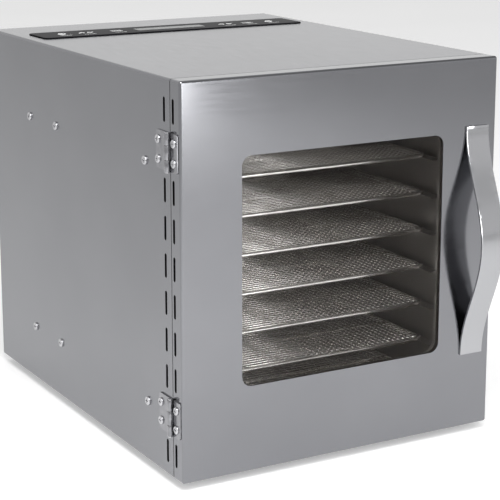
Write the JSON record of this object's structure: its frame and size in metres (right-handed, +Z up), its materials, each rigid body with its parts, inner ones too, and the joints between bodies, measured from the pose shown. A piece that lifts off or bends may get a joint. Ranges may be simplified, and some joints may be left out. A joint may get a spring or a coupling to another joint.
{
  "type": "food dehydrator",
  "caption": "Brushed steel cabinet food dehydrator with a glazed side-hinged door, bowed strap handle, sliding wire trays, rear fan and ring heater.",
  "frame": {"origin": "on the surface it stands on, under the middle of the whole object's box", "axes": "+Z up, -Y towards the door and its handle, +X to the right of someone facing the door"},
  "size_m": [0.353, 0.4853, 0.3812],
  "materials": {
    "casing_steel": "brushed, satin",
    "door_steel": "fine brushed, reflective",
    "liner_steel": "rolled, satin",
    "handle_steel": "polished along its length",
    "tray_wire": "plated wire",
    "fastener_steel": "bright zinc",
    "hinge_steel": "pressed, bright",
    "window_glass": "clear, polished",
    "strip_gloss": "black, glossy",
    "display_dark": "dark",
    "board_green": "coated board",
    "black_plastic": "fine grain",
    "grey_rubber": "matte silicone",
    "foot_rubber": "matte",
    "fan_aluminium": "pressed sheet",
    "motor_paint": "satin",
    "bush_brass": "turned",
    "heater_tube": "oxidised tube",
    "sensor_metal": "plain"
  },
  "bodies": {
    "cabinet": {"left_side_panel": "casing_steel", "right_side_panel": "casing_steel", "top_panel": "casing_steel", "base_panel": "casing_steel", "rear_panel": "casing_steel", "chamber_left_wall": "liner_steel", "chamber_right_wall": "liner_steel", "chamber_ceiling": "liner_steel", "chamber_floor": "liner_steel", "front_frame": "liner_steel", "duct_panel": "liner_steel", "plenum_back": "liner_steel", "left_runners": "liner_steel", "right_runners": "liner_steel", "side_screws": "fastener_steel", "rear_screws": "fastener_steel", "motor_screws": "fastener_steel", "inlet_screws": "fastener_steel", "foot_screws": "fastener_steel", "hinge_body_screws": "fastener_steel", "hinge_pins": "fastener_steel", "wall_standoffs": "fastener_steel", "heater_clips": "fastener_steel", "hinge_body_leaves": "hinge_steel", "control_strip": "strip_gloss", "display_module": "display_dark", "control_board": "board_green", "power_board": "board_green", "mains_inlet": "black_plastic", "magnet_catches": "black_plastic", "feet": "foot_rubber", "fan_motor": "motor_paint", "motor_bushes": "bush_brass", "heater_ring": "heater_tube", "thermal_cutout": "sensor_metal", "temperature_probe": "sensor_metal"},
    "door": {"door_skin": "door_steel", "door_inner_panel": "liner_steel", "door_nut_tabs": "liner_steel", "door_screws": "fastener_steel", "door_glass": "window_glass", "glass_gasket": "grey_rubber", "door_seal": "grey_rubber", "strike_plates": "fastener_steel", "handle_strap": "handle_steel", "handle_nuts": "fastener_steel", "hinge_door_leaves": "hinge_steel", "hinge_door_screws": "fastener_steel"},
    "fan": {"fan_impeller": "fan_aluminium", "motor_shaft": "fastener_steel"},
    "tray_1": {"tray_1": "tray_wire"},
    "tray_2": {"tray_2": "tray_wire"},
    "tray_3": {"tray_3": "tray_wire"},
    "tray_4": {"tray_4": "tray_wire"},
    "tray_5": {"tray_5": "tray_wire"},
    "tray_6": {"tray_6": "tray_wire"},
    "tray_7": {"tray_7": "tray_wire"},
    "tray_8": {"tray_8": "tray_wire"},
    "drip_tray": {"drip_tray_floor": "liner_steel", "drip_tray_rim": "liner_steel"}
  },
  "joints": [
    {"name": "door_hinge", "type": "hinge", "parent": "cabinet", "child": "door", "pos_m": [-0.1737, -0.19195, 0.1912], "axis": [0, 0, -1], "range_deg": [0, 180]},
    {"name": "fan_spin", "type": "hinge", "parent": "cabinet", "child": "fan", "pos_m": [0.002, 0.16515, 0.189], "axis": [0, 1, 0], "continuous": true},
    {"name": "tray_1_slide", "type": "slide", "parent": "cabinet", "child": "tray_1", "axis": [0, -1, 0], "range_m": [0, 0.041]},
    {"name": "tray_2_slide", "type": "slide", "parent": "cabinet", "child": "tray_2", "axis": [0, -1, 0], "range_m": [0, 0.041]},
    {"name": "tray_3_slide", "type": "slide", "parent": "cabinet", "child": "tray_3", "axis": [0, -1, 0], "range_m": [0, 0.041]},
    {"name": "tray_4_slide", "type": "slide", "parent": "cabinet", "child": "tray_4", "axis": [0, -1, 0], "range_m": [0, 0.041]},
    {"name": "tray_5_slide", "type": "slide", "parent": "cabinet", "child": "tray_5", "axis": [0, -1, 0], "range_m": [0, 0.041]},
    {"name": "tray_6_slide", "type": "slide", "parent": "cabinet", "child": "tray_6", "axis": [0, -1, 0], "range_m": [0, 0.041]},
    {"name": "tray_7_slide", "type": "slide", "parent": "cabinet", "child": "tray_7", "axis": [0, -1, 0], "range_m": [0, 0.041]},
    {"name": "tray_8_slide", "type": "slide", "parent": "cabinet", "child": "tray_8", "axis": [0, -1, 0], "range_m": [0, 0.041]},
    {"name": "drip_tray_slide", "type": "slide", "parent": "cabinet", "child": "drip_tray", "axis": [0, -1, 0], "range_m": [0, 0.041]}
  ]
}
